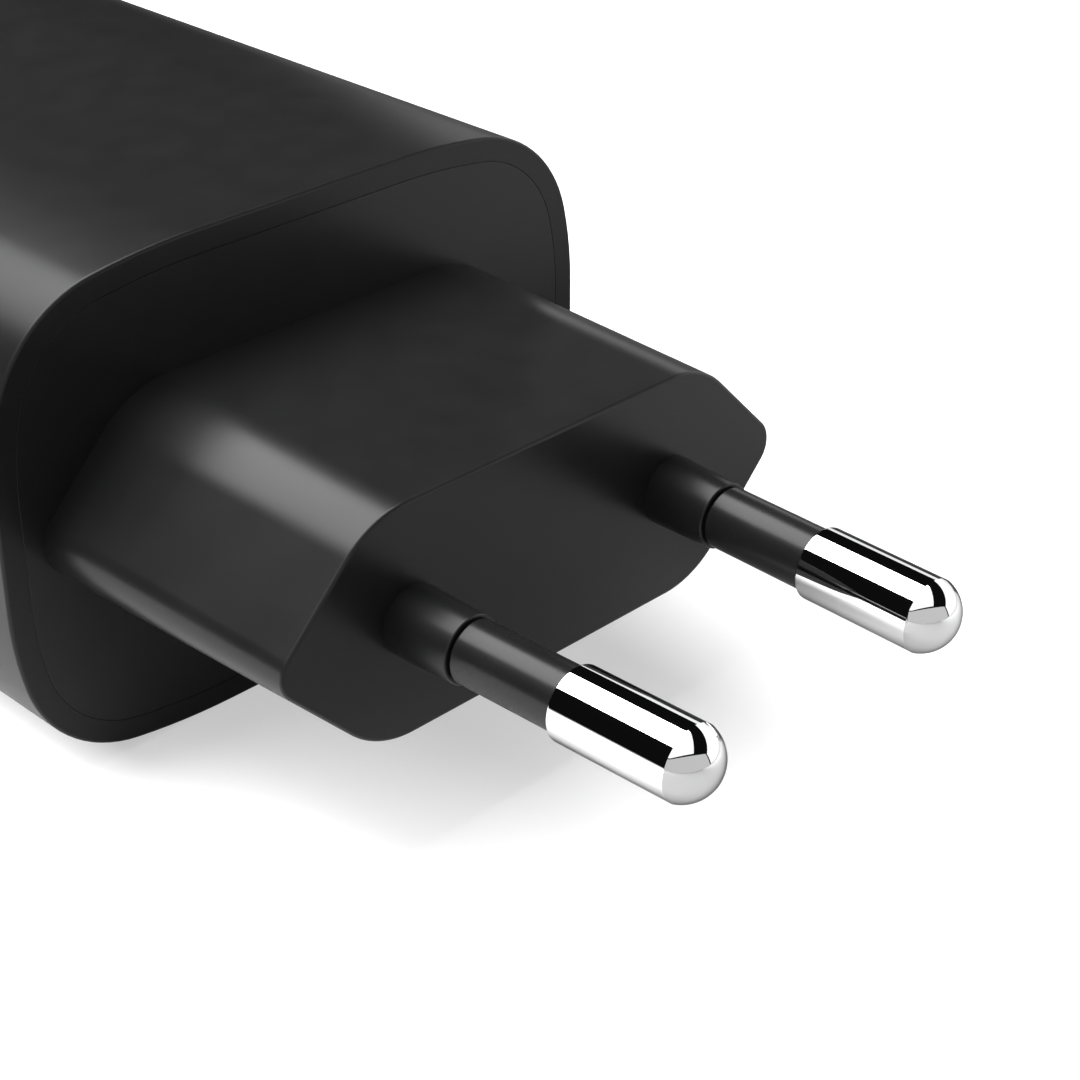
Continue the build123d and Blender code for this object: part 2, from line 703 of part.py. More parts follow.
with BuildPart() as transformer_tape:
    with BuildSketch(coil_plane) as tape_section:
        RectangleRounded(*tape_size, radius=winding_depth / 2 + tape_thickness)
        RectangleRounded(*coil_size, radius=winding_depth / 2, mode=Mode.SUBTRACT)
    extrude(amount=coil_length / 2, both=True)
transformer_tape.part.label = "transformer_tape"
export_step(transformer_tape.part, "parts/transformer_tape.step")

# Two mains reservoir capacitors, side by side in front of the transformer
bulk_y = transformer_y - core_length / 2 - part_gap - bulk_radius
bulk_x = bulk_radius + part_gap / 2
for side, x_sign in sides.items():
    with BuildPart(on_board(x_sign * bulk_x, bulk_y)) as bulk_capacitor:
        Cylinder(bulk_radius, tall_height, align=seated)
        fillet(bulk_capacitor.edges().filter_by(GeomType.CIRCLE), radius=bulk_edge_radius)
    bulk_capacitor.part.label = f"bulk_capacitor_{side}"
    export_step(bulk_capacitor.part, f"parts/bulk_capacitor_{side}.step")

# Two output capacitors, in line beside the transformer
output_x = core_width / 2 + part_gap + output_radius
output_y = output_radius + part_gap / 2
for end, y_sign in (("front", -1), ("rear", 1)):
    with BuildPart(on_board(output_x, transformer_y + y_sign * output_y)) as output_capacitor:
        Cylinder(output_radius, output_height, align=seated)
        fillet(output_capacitor.edges().filter_by(GeomType.CIRCLE), radius=output_edge_radius)
    output_capacitor.part.label = f"output_capacitor_{end}"
    export_step(output_capacitor.part, f"parts/output_capacitor_{end}.step")

# Interference capacitors: a moulded box between the contact strips, and a dipped disc on its leads
x_capacitor_front_y = board_front_y + part_gap / 2
x_capacitor_depth = bulk_y - bulk_radius - part_gap - x_capacitor_front_y
with BuildPart(on_board(0, x_capacitor_front_y + x_capacitor_depth / 2)) as x_capacitor:
    Box(x_capacitor_width, x_capacitor_depth, x_capacitor_height, align=seated)
    fillet(x_capacitor.edges().filter_by(Axis.Z), radius=x_capacitor_radius)
x_capacitor.part.label = "x_capacitor"
export_step(x_capacitor.part, "parts/x_capacitor.step")

y_capacitor_x = -core_width / 2 - part_gap - y_capacitor_thickness / 2
y_capacitor_z = y_capacitor_radius + part_gap
with BuildPart(on_board(y_capacitor_x, transformer_y)) as y_capacitor:
    with Locations((0, 0, y_capacitor_z)):
        Cylinder(y_capacitor_radius, y_capacitor_thickness, rotation=(0, 90, 0))
    fillet(y_capacitor.edges().filter_by(GeomType.CIRCLE), radius=y_capacitor_round)
    with Locations([(0, s * y_capacitor_radius / 2, 0) for s in sides.values()]):
        Cylinder(lead_radius, y_capacitor_z, align=seated)
y_capacitor.part.label = "y_capacitor"
export_step(y_capacitor.part, "parts/y_capacitor.step")

# Mains entry: a fuse with metal end caps along one side, and an inrush thermistor ahead of it
edge_x = board_width / 2 - rail_overlap - edge_margin
fuse_x = fuse_radius - edge_x
thermistor_y = board_front_y + part_gap + thermistor_radius
fuse_y = thermistor_y + thermistor_radius + part_gap + fuse_length / 2
fuse_z = fuse_stand + fuse_radius
with BuildPart(on_board(fuse_x, fuse_y)) as fuse_body:
    with Locations((0, 0, fuse_z)):
        Cylinder(fuse_radius - fuse_cap_depth, fuse_length - 2 * fuse_cap_length, rotation=(90, 0, 0))
fuse_body.part.label = "fuse_body"
export_step(fuse_body.part, "parts/fuse_body.step")

with BuildPart(on_board(fuse_x, fuse_y)) as fuse_caps:
    cap_y = (fuse_length - fuse_cap_length) / 2
    with Locations([(0, s * cap_y, fuse_z) for s in sides.values()]):
        Cylinder(fuse_radius, fuse_cap_length, rotation=(90, 0, 0))
    with Locations([(0, s * cap_y, 0) for s in sides.values()]):
        Cylinder(lead_radius, fuse_z, align=seated)
fuse_caps.part.label = "fuse_caps"
export_step(fuse_caps.part, "parts/fuse_caps.step")

thermistor_z = thermistor_radius + part_gap
with BuildPart(on_board(thermistor_thickness / 2 - edge_x, thermistor_y)) as thermistor:
    with Locations((0, 0, thermistor_z)):
        Cylinder(thermistor_radius, thermistor_thickness, rotation=(0, 90, 0))
    fillet(thermistor.edges().filter_by(GeomType.CIRCLE), radius=thermistor_round)
    with Locations([(0, s * thermistor_radius / 2, 0) for s in sides.values()]):
        Cylinder(lead_radius, thermistor_z, align=seated)
thermistor.part.label = "thermistor"
export_step(thermistor.part, "parts/thermistor.step")

# Common-mode choke: a ferrite ring standing on edge, with a winding on each half
choke_reach = choke_outer_radius + choke_winding
choke_depth = edge_x - bulk_x - bulk_radius - part_gap
choke_thickness = choke_depth - 2 * choke_winding
choke_place = (
    edge_x - choke_depth / 2,
    board_front_y + strip_foot_length + part_gap + choke_reach,
    board_top_z + choke_stand + choke_reach,
)
choke_plane = Plane(origin=choke_place, x_dir=(0, 1, 0), z_dir=(1, 0, 0))
with BuildPart() as choke_core:
    with BuildSketch(choke_plane) as ring:
        Circle(choke_outer_radius)
        Circle(choke_inner_radius, mode=Mode.SUBTRACT)
    extrude(amount=choke_thickness / 2, both=True)
choke_core.part.label = "choke_core"
export_step(choke_core.part, "parts/choke_core.step")

with BuildPart() as choke_windings:
    with BuildSketch(choke_plane) as winding_ring:
        Circle(choke_reach)
        Circle(choke_inner_radius - choke_winding, mode=Mode.SUBTRACT)
        Rectangle(2 * choke_reach, choke_parting, mode=Mode.SUBTRACT)
    extrude(amount=choke_depth / 2, both=True)
    with BuildSketch(choke_plane) as core_space:
        Circle(choke_outer_radius)
        Circle(choke_inner_radius, mode=Mode.SUBTRACT)
    extrude(amount=choke_thickness / 2, both=True, mode=Mode.SUBTRACT)
choke_windings.part.label = "choke_windings"
export_step(choke_windings.part, "parts/choke_windings.step")

# Flat chips under the main board: name, across and along place, size
side_column_x = edge_x - switch_chip_size[0] / 2
chips = (
    ("bridge_rectifier", -side_column_x, board_front_y + part_gap + bridge_size[1] / 2, bridge_size),
    ("switching_chip", side_column_x, bulk_y, switch_chip_size),
    ("optocoupler", 0, transformer_y, optocoupler_size),
    ("rectifier_chip", -side_column_x, transformer_y, rectifier_chip_size),
)
for name, x, y, size in chips:
    with BuildPart(under_board(x, y)) as chip:
        Box(*size, align=seated)
        chamfer(chip.edges().group_by(Axis.Z)[0], length=chip_chamfer)
    chip.part.label = name
    export_step(chip.part, f"parts/{name}.step")

# One protocol chip for each socket, and a row of chip resistors between the two circuits
protocol_chip_y = port_back_y + part_gap + protocol_chip_size[1] / 2
with BuildPart(under_board(0, protocol_chip_y)) as protocol_chips:
    with Locations((a_port_x, 0), (c_port_x, 0)):
        Box(*protocol_chip_size, align=seated)
protocol_chips.part.label = "protocol_chips"
export_step(protocol_chips.part, "parts/protocol_chips.step")

with BuildPart(under_board(side_column_x, transformer_y)) as chip_resistors:
    with GridLocations(0, resistor_pitch, 1, resistor_count):
        Box(*resistor_size, align=seated)
chip_resistors.part.label = "chip_resistors"
export_step(chip_resistors.part, "parts/chip_resistors.step")

# Linings: an insulating wrap under the top of the shell, a heat spreader inside it, a sheet below
wrap_inset = shell_wall + wrap_gap
spreader_inset = wrap_inset + wrap_thickness + spreader_gap
lining_rear_y = port_board_y - board_thickness / 2 - lining_end_gap
lining_length = lining_rear_y - board_front_y
wrap_edge_z = board_top_z + rail_clearance + rail_thickness + wrap_gap
spreader_edge_z = axis_z
linings = (
    ("insulation_wrap", wrap_inset, wrap_thickness, wrap_edge_z),
    ("heat_spreader", spreader_inset, spreader_thickness, spreader_edge_z),
)
for name, inset, thickness, edge_z in linings:
    with BuildPart() as lining:
        extrude(body_section(lining_rear_y, inset), amount=lining_length)
        extrude(body_section(lining_rear_y, inset + thickness), amount=lining_length, mode=Mode.SUBTRACT)
        split(bisect_by=Plane.XY.offset(edge_z), keep=Keep.TOP)
    lining.part.label = name
    export_step(lining.part, f"parts/{name}.step")

base_sheet_z = shell_wall + base_sheet_gap
with BuildPart(Plane(origin=(0, board_front_y + lining_length / 2, base_sheet_z))) as base_sheet:
    Box(crown_flat, lining_length, base_sheet_thickness, align=seated)
base_sheet.part.label = "base_sheet"
export_step(base_sheet.part, "parts/base_sheet.step")
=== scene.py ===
import json
import math

import bmesh
import bpy
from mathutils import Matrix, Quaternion, Vector
from mathutils.kdtree import KDTree


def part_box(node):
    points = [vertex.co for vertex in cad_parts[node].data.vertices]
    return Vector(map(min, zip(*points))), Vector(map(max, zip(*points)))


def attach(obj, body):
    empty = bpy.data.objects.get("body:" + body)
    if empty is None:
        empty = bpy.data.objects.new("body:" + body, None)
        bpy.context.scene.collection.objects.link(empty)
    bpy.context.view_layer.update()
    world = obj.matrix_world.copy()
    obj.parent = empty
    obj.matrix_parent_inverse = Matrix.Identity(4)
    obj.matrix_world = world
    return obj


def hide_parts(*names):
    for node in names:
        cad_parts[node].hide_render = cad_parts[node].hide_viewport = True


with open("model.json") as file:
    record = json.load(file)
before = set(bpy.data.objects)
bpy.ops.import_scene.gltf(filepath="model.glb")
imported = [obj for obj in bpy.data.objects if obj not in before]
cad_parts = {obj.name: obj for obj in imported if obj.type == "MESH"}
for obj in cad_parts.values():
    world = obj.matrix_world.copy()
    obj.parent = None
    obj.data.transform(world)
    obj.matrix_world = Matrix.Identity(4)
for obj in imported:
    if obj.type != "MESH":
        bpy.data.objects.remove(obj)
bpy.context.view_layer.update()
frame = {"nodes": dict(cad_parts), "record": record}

mm = 0.001
mergeGap = 0.0005  # points closer than this, in millimetres, are one point
flatBand = 0.002  # how far from a flat face's station its own edges may lie
openBand = 0.02  # the same, for the open edges that a flat face still has to close
record = frame["record"]
mounts = {mount["name"]: mount for mount in record["mounts"]}

# main stations in millimetres, read from the frame
shellLow, shellHigh = [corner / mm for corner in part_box("housing_shell")]
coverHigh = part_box("plug_cover")[1] / mm
bodyFront = shellLow.y
bodyRear = shellHigh.y
coverSeat = coverHigh.y
midHeight = (shellLow.z + shellHigh.z) / 2
plugFace = mounts["engagement_face"]["pos_m"][1] / mm
print("frame loaded:", len(frame["nodes"]), "nodes")


def deselectAll():
    if bpy.context.object and bpy.context.object.mode != "OBJECT":
        bpy.ops.object.mode_set(mode="OBJECT")
    bpy.ops.object.select_all(action="DESELECT")


def makeActive(piece):
    deselectAll()
    piece.select_set(True)
    bpy.context.view_layer.objects.active = piece


def growRings(name, rings):
    # a circle primitive is laid on the first outline, then extruded and laid on each next one
    deselectAll()
    bpy.ops.mesh.primitive_circle_add(vertices=len(rings[0]), radius=mm)
    piece = bpy.context.object
    piece.name = piece.data.name = name
    for vertex, point in zip(piece.data.vertices, rings[0]):
        vertex.co = Vector(point) * mm
    bpy.ops.object.mode_set(mode="EDIT")
    bpy.ops.mesh.select_all(action="SELECT")
    for before, after in zip(rings, rings[1:]):
        near = KDTree(len(before))
        for index, point in enumerate(before):
            near.insert(Vector(point) * mm, index)
        near.balance()
        bpy.ops.mesh.extrude_region_move()
        mesh = bmesh.from_edit_mesh(piece.data)
        for vertex in [v for v in mesh.verts if v.select]:
            vertex.co = Vector(after[near.find(vertex.co)[1]]) * mm
        bmesh.update_edit_mesh(piece.data)
    bpy.ops.object.mode_set(mode="OBJECT")
    return piece


def pickOpenEdges(piece, test):
    # selects the open edges whose middle, in millimetres, passes the test
    makeActive(piece)
    bpy.ops.object.mode_set(mode="EDIT")
    bpy.ops.mesh.select_mode(type="EDGE")
    bpy.ops.mesh.select_all(action="DESELECT")
    mesh = bmesh.from_edit_mesh(piece.data)
    for edge in mesh.edges:
        middle = (edge.verts[0].co + edge.verts[1].co) / 2 / mm
        if edge.is_boundary and test(middle):
            edge.select = True
    mesh.select_flush_mode()
    bmesh.update_edit_mesh(piece.data)


def closeAndSmooth(piece, sharpAngle=32, flatAt=()):
    # flatAt lists stations whose flat faces keep their own shading right up to the edge
    makeActive(piece)
    bpy.ops.object.mode_set(mode="EDIT")
    bpy.ops.mesh.select_mode(type="VERT")
    bpy.ops.mesh.select_all(action="SELECT")
    bpy.ops.mesh.remove_doubles(threshold=mm * mergeGap)
    bpy.ops.mesh.select_all(action="SELECT")
    bpy.ops.mesh.fill_holes(sides=0)
    bpy.ops.mesh.select_all(action="SELECT")
    bpy.ops.mesh.normals_make_consistent(inside=False)
    bpy.ops.object.mode_set(mode="OBJECT")
    bpy.ops.object.shade_smooth_by_angle(angle=math.radians(sharpAngle))
    for edge in piece.data.edges:
        ends = [piece.data.vertices[index].co.y / mm for index in edge.vertices]
        if any(max(abs(end - station) for end in ends) < flatBand for station in flatAt):
            edge.use_edge_sharp = True
    weighted = piece.modifiers.new("FaceNormals", "WEIGHTED_NORMAL")
    weighted.keep_sharp = True
    bpy.ops.object.modifier_apply(modifier=weighted.name)


def cutWith(piece, cutter):
    makeActive(piece)
    cut = piece.modifiers.new("Cut", "BOOLEAN")
    cut.operation = "DIFFERENCE"
    cut.solver = "EXACT"
    cut.object = cutter
    bpy.ops.object.modifier_apply(modifier=cut.name)
    bpy.data.objects.remove(cutter)


def hand(piece, body, slot, material, *nodes):
    # what a finished piece rides on, stands for and is made of
    piece.data.materials.clear()
    piece.data.materials.append(material)
    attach(piece, body)
    if nodes:
        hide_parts(*nodes)
    print("made", piece.name, len(piece.data.polygons), "faces")


def arc(centre, radius, start, end, steps):
    # points on an arc, from start to end in degrees, both included
    turns = [math.radians(start + (end - start) * step / steps) for step in range(steps + 1)]
    return [(centre[0] + radius * math.cos(t), centre[1] + radius * math.sin(t)) for t in turns]


def softPolygon(corners, radii, steps, grow=0.0):
    # a polygon with rounded corners, as points; grow moves the whole outline outwards
    points = []
    for index, corner in enumerate(corners):
        corner = Vector(corner)
        before = (Vector(corners[index - 1]) - corner).normalized()
        after = (Vector(corners[(index + 1) % len(corners)]) - corner).normalized()
        half = before.angle(after) / 2
        centre = corner + (before + after).normalized() * radii[index] / math.sin(half)
        first = corner + before * radii[index] / math.tan(half) - centre
        start = math.degrees(math.atan2(first.y, first.x))
        sweep = 180 - math.degrees(2 * half)
        points += arc(centre, radii[index] + grow, start, start + sweep, steps)
    return points


def upright(outline, y):
    # an (x, z) outline about the charger's middle axis becomes a ring at station y
    return [(x, y, midHeight + z) for x, z in outline]


# finishes: colour, roughness and its spread, grain size and bump height in millimetres;
# edge is how much a polished metal still mirrors at a glancing angle
cloudSize = 22  # in grains
noiseLow = 0.3
noiseHigh = 0.7
cloudDetail = 3.0
grainDetail = 2.0
toneSpread = 0.05
smoothest = 0.02
plainIor = 1.45
finishes = {
    "shell_plastic": dict(
        colour=(0.0075, 0.0075, 0.0078), rough=0.31, spread=0.012,
        grain=0.11, bump=0.0012, ior=1.345,
    ),
    "cover_plastic": dict(
        colour=(0.0075, 0.0075, 0.0078), rough=0.29, spread=0.012,
        grain=0.11, bump=0.0012, ior=1.37,
    ),
    "sleeve_plastic": dict(
        colour=(0.0075, 0.0075, 0.0078), rough=0.27, spread=0.01,
        grain=0.1, bump=0.0008, ior=1.38,
    ),
    "retainer_plastic": dict(
        colour=(0.05, 0.05, 0.05), rough=0.5, spread=0.08,
        grain=0.3, bump=0.004,
    ),
    "pin_plating": dict(
        colour=(0.95, 0.95, 0.955), rough=0.03, spread=0.008,
        grain=0.9, bump=0.00012, metal=1.0, edge=0.3,
    ),
    "strip_brass": dict(
        colour=(0.72, 0.53, 0.24), rough=0.3, spread=0.12,
        grain=0.5, bump=0.002, metal=1.0,
    ),
    "board_laminate": dict(
        colour=(0.012, 0.09, 0.035), rough=0.35, spread=0.1,
        grain=0.9, bump=0.006,
    ),
    "socket_steel": dict(
        colour=(0.5, 0.5, 0.52), rough=0.32, spread=0.08,
        grain=0.6, bump=0.001, metal=1.0,
    ),
    "socket_plastic": dict(
        colour=(0.02, 0.02, 0.021), rough=0.45, spread=0.06,
        grain=0.2, bump=0.003,
    ),
    "contact_gold": dict(
        colour=(0.9, 0.66, 0.26), rough=0.2, spread=0.06,
        grain=0.3, bump=0.0008, metal=1.0,
    ),
    "ferrite": dict(colour=(0.04, 0.04, 0.043), rough=0.6, spread=0.12, grain=0.25, bump=0.012),
    "bobbin_plastic": dict(
        colour=(0.03, 0.03, 0.032), rough=0.5, spread=0.06,
        grain=0.3, bump=0.004,
    ),
    "copper_wire": dict(
        colour=(0.62, 0.24, 0.09), rough=0.28, spread=0.08,
        grain=0.35, bump=0.02, metal=1.0,
    ),
    "coil_tape": dict(colour=(0.78, 0.55, 0.05), rough=0.3, spread=0.08, grain=1.2, bump=0.006),
    "capacitor_sleeve": dict(
        colour=(0.015, 0.02, 0.045), rough=0.3, spread=0.08,
        grain=1.0, bump=0.005,
    ),
    "capacitor_can": dict(
        colour=(0.72, 0.72, 0.74), rough=0.3, spread=0.1,
        grain=0.4, bump=0.002, metal=1.0,
    ),
    "film_capacitor": dict(colour=(0.66, 0.5, 0.12), rough=0.4, spread=0.08, grain=0.5, bump=0.004),
    "disc_ceramic": dict(colour=(0.04, 0.13, 0.36), rough=0.35, spread=0.1, grain=0.8, bump=0.01),
    "fuse_ceramic": dict(colour=(0.72, 0.69, 0.62), rough=0.5, spread=0.1, grain=0.3, bump=0.004),
    "fuse_metal": dict(
        colour=(0.7, 0.7, 0.71), rough=0.22, spread=0.08,
        grain=0.5, bump=0.001, metal=1.0,
    ),
    "thermistor_coat": dict(
        colour=(0.02, 0.08, 0.045), rough=0.45, spread=0.1,
        grain=0.6, bump=0.01,
    ),
    "chip_resin": dict(colour=(0.02, 0.02, 0.02), rough=0.55, spread=0.1, grain=0.12, bump=0.004),
    "optocoupler_resin": dict(
        colour=(0.62, 0.62, 0.58), rough=0.5, spread=0.08,
        grain=0.15, bump=0.004,
    ),
    "resistor_ceramic": dict(
        colour=(0.03, 0.03, 0.035), rough=0.35, spread=0.1,
        grain=0.2, bump=0.003,
    ),
    "film_sheet": dict(colour=(0.6, 0.55, 0.36), rough=0.25, spread=0.08, grain=2.0, bump=0.01),
    "spreader_aluminium": dict(
        colour=(0.75, 0.75, 0.77), rough=0.32, spread=0.12,
        grain=0.7, bump=0.003, metal=1.0,
    ),
}


def makeFinish(name, finish):
    # one shader: soft clouds vary its colour and roughness, and a fine grain gives its bump
    material = bpy.data.materials.new(name)
    material.use_nodes = True
    nodes, links = material.node_tree.nodes, material.node_tree.links
    shader = nodes["Principled BSDF"]
    shader.inputs["Metallic"].default_value = finish.get("metal", 0.0)
    shader.inputs["IOR"].default_value = finish.get("ior", plainIor)
    place = nodes.new("ShaderNodeTexCoord")
    cloud = nodes.new("ShaderNodeTexNoise")
    cloud.inputs["Scale"].default_value = 1 / (finish["grain"] * cloudSize * mm)
    cloud.inputs["Detail"].default_value = cloudDetail
    grain = nodes.new("ShaderNodeTexNoise")
    grain.inputs["Scale"].default_value = 1 / (finish["grain"] * mm)
    grain.inputs["Detail"].default_value = grainDetail
    tint = nodes.new("ShaderNodeValToRGB")
    colour = finish["colour"]
    stops = ((noiseLow, 1 - toneSpread), (noiseHigh, 1 + toneSpread))
    for element, (position, tone) in zip(tint.color_ramp.elements, stops):
        element.position = position
        element.color = (*[channel * tone for channel in colour], 1)
    rough = nodes.new("ShaderNodeMapRange")
    rough.inputs["From Min"].default_value = noiseLow
    rough.inputs["From Max"].default_value = noiseHigh
    rough.inputs["To Min"].default_value = max(smoothest, finish["rough"] - finish["spread"])
    rough.inputs["To Max"].default_value = finish["rough"] + finish["spread"]
    bump = nodes.new("ShaderNodeBump")
    bump.inputs["Distance"].default_value = finish["bump"] * mm
    links.new(place.outputs["Object"], cloud.inputs["Vector"])
    links.new(place.outputs["Object"], grain.inputs["Vector"])
    links.new(cloud.outputs["Fac"], tint.inputs["Fac"])
    links.new(tint.outputs["Color"], shader.inputs["Base Color"])
    links.new(cloud.outputs["Fac"], rough.inputs["Value"])
    links.new(rough.outputs["Result"], shader.inputs["Roughness"])
    links.new(grain.outputs["Fac"], bump.inputs["Height"])
    links.new(bump.outputs["Normal"], shader.inputs["Normal"])
    edge = finish.get("edge", 1.0)
    shader.inputs["Specular Tint"].default_value = (edge, edge, edge, 1)
    return material


materials = {name: makeFinish(name, finish) for name, finish in finishes.items()}
for part in record["subparts"]:
    node = frame["nodes"][part["node"]]
    node.data.materials.clear()
    node.data.materials.append(materials[part["material_slot"]])
print("finishes ready:", len(materials))

# the body's section: flat strips joined by gentle arcs and tighter corner arcs
body = {
    "width": shellHigh.x - shellLow.x,
    "height": shellHigh.z - shellLow.z,
    "crownFlat": 14.0,
    "crownRadius": 42.0,
    "cheekFlat": 6.0,
    "cheekRadius": 21.0,
    "cornerRadius": 8.0,
    "cheekSteps": 5,
    "cornerSteps": 15,
    "crownSteps": 6,
}


def bodyOutline(inset=0.0):
    crown = Vector((body["crownFlat"] / 2, body["height"] / 2 - body["crownRadius"]))
    cheek = Vector((body["width"] / 2 - body["cheekRadius"], body["cheekFlat"] / 2))
    crownReach = body["crownRadius"] - body["cornerRadius"]
    cheekReach = body["cheekRadius"] - body["cornerRadius"]
    link = cheek - crown
    along = (link.length_squared + crownReach**2 - cheekReach**2) / (2 * link.length)
    across = math.sqrt(crownReach**2 - along**2)
    step = link.normalized()
    corner = crown + step * along + Vector((step.y, -step.x)) * across
    toCheek, toCrown = corner - cheek, corner - crown
    low = math.degrees(math.atan2(toCheek.y, toCheek.x))
    high = math.degrees(math.atan2(toCrown.y, toCrown.x))
    quarter = arc(cheek, body["cheekRadius"] - inset, 0, low, body["cheekSteps"])
    quarter += arc(corner, body["cornerRadius"] - inset, low, high, body["cornerSteps"])[1:]
    quarter += arc(crown, body["crownRadius"] - inset, high, 90, body["crownSteps"])[1:]
    upper = quarter + [(-x, z) for x, z in reversed(quarter)]
    return upper + [(-x, -z) for x, z in upper]


# housing shell: a deep cup with a rounded far end and two socket openings
shell = {
    "wall": 2.2,
    "rearWall": 2.4,
    "rim": 1.4,
    "rimBreak": 0.01,
    "frontRound": 0.2,
    "rearRound": 2.5,
    "roundSteps": 10,
    "frontSteps": 5,
    "portGap": 0.15,
    "portBreak": 0.4,
    "portSteps": 8,
    "portFullness": 0.995,
    "cutPast": 1.0,
    "cornerA": 0.8,
    "cornerC": 1.6,
}


def portOutline(node, radius):
    # the socket's own box gives the opening, with its running gap
    low, high = [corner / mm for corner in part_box(node)]
    halfWidth = (high.x - low.x) / 2 + shell["portGap"]
    halfHeight = (high.z - low.z) / 2 + shell["portGap"]
    radii = [min(radius + shell["portGap"], halfHeight * shell["portFullness"])] * 4
    corners = [(halfWidth, -halfHeight), (halfWidth, halfHeight)]
    corners += [(-x, -z) for x, z in corners]
    middle = (low.x + high.x) / 2

    def outline(grow):
        return [(middle + x, z) for x, z in softPolygon(corners, radii, shell["portSteps"], grow)]

    return outline


def makeHousingShell():
    wall, rear, front = shell["wall"], shell["rearRound"], shell["frontRound"]
    path = [(wall, bodyRear - shell["rearWall"]), (wall, coverSeat), (shell["rim"], coverSeat)]
    path += [(shell["rim"], bodyFront + shell["rimBreak"]), (shell["rim"] - shell["rimBreak"], bodyFront)]
    path += arc((front, bodyFront + front), front, -90, -180, shell["frontSteps"])
    path += arc((rear, bodyRear - rear), rear, 180, 90, shell["roundSteps"])
    piece = growRings("housingShell", [upright(bodyOutline(inset), y) for inset, y in path])
    closeAndSmooth(piece)
    for node, radius in (("usb_a_shell", shell["cornerA"]), ("usb_c_shell", shell["cornerC"])):
        outline = portOutline(node, radius)
        edge = shell["portBreak"]
        cutPath = [(0, bodyRear - 2 * shell["rearWall"]), (0, bodyRear - edge)]
        cutPath += [(edge, bodyRear), (edge, bodyRear + shell["cutPast"])]
        cutter = growRings("cutter", [upright(outline(grow), y) for grow, y in cutPath])
        closeAndSmooth(cutter)
        cutWith(piece, cutter)
    closeAndSmooth(piece)
    hand(piece, "charger", "shell_plastic", materials["shell_plastic"], "housing_shell")


# plug cover: plate, six-sided neck and two collars in one moulding
neck = {
    "width": 35.3,
    "height": 13.3,
    "topWidth": 23.6,
    "topRadius": 5.6,
    "sideRadius": 1.65,
    "draft": 1.78,
    "wall": 1.8,
    "faceWall": 2.0,
    "faceRound": 0.2,
    "plateInset": 1.42,
    "plateBreak": 0.01,
    "roundSteps": 8,
    "settleTurns": 30,
}
collar = {
    "length": 4.1,
    "rootRadius": 1.95,
    "mouthRadius": 1.86,
    "mouthRound": 0.1,
    "waistRadius": 1.36,
    "waistAt": 1.0,
    "waistLength": 0.6,
    "boreMouth": 1.52,
    "boreInner": 1.66,
    "around": 72,
    "mouthSteps": 4,
}


def neckOutline(grow):
    # the sharp side vertex is settled so that the rounded one gives the stated width
    halfWidth, halfHeight, halfTop = neck["width"] / 2, neck["height"] / 2, neck["topWidth"] / 2
    side = halfWidth
    for _ in range(neck["settleTurns"]):
        slope = math.atan2(halfHeight, side - halfTop)
        side = halfWidth + neck["sideRadius"] * (1 / math.sin(slope) - 1)
    corners = [(side, 0), (halfTop, halfHeight), (-halfTop, halfHeight)]
    corners += [(-x, -z) for x, z in corners]
    radii = [neck["sideRadius"], neck["topRadius"], neck["topRadius"]] * 2
    perCorner = len(bodyOutline()) // len(corners)  # as many points in all as the body's outline
    points = softPolygon(corners, radii, perCorner - 1, grow)
    return points[perCorner // 2:] + points[:perCorner // 2]


def neckGrow(y):
    return (y - plugFace) * math.tan(math.radians(neck["draft"]))


def pinAxis(side):
    # where a pin's axis leaves the engagement face, and its direction, from the frame
    mount = mounts[side + "_pin"]
    middle, along = Vector(mount["pos_m"]) / mm, Vector(mount["axis"])
    return middle + along * ((plugFace - middle.y) / along.y), along


def pinRing(side, radius, reach, lean, around):
    # a ring round the pin's axis; lean 0 keeps it parallel to the engagement face
    base, along = pinAxis(side)
    centre = base + along * reach
    tilt = math.atan2(along.x, -along.y) * lean
    across = Vector((math.cos(tilt), math.sin(tilt), 0))
    turns = [2 * math.pi * step / around for step in range(around)]
    return [centre + across * (radius * math.cos(t)) + Vector((0, 0, radius * math.sin(t))) for t in turns]


def makeCollar(side):
    waist, half = collar["waistRadius"], collar["waistLength"] / 2
    edge, length = collar["mouthRound"], collar["length"]
    path = [(collar["boreInner"], -neck["faceWall"], 0), (waist, collar["waistAt"] - half, 1)]
    path += [(waist, collar["waistAt"] + half, 1), (collar["boreMouth"], length, 1)]
    mouth = (collar["mouthRadius"] - edge, length - edge)
    path += [(r, t, 1) for r, t in arc(mouth, edge, 90, 0, collar["mouthSteps"])]
    path.append((collar["rootRadius"], 0, 0))
    return growRings("collar", [pinRing(side, r, t, lean, collar["around"]) for r, t, lean in path])


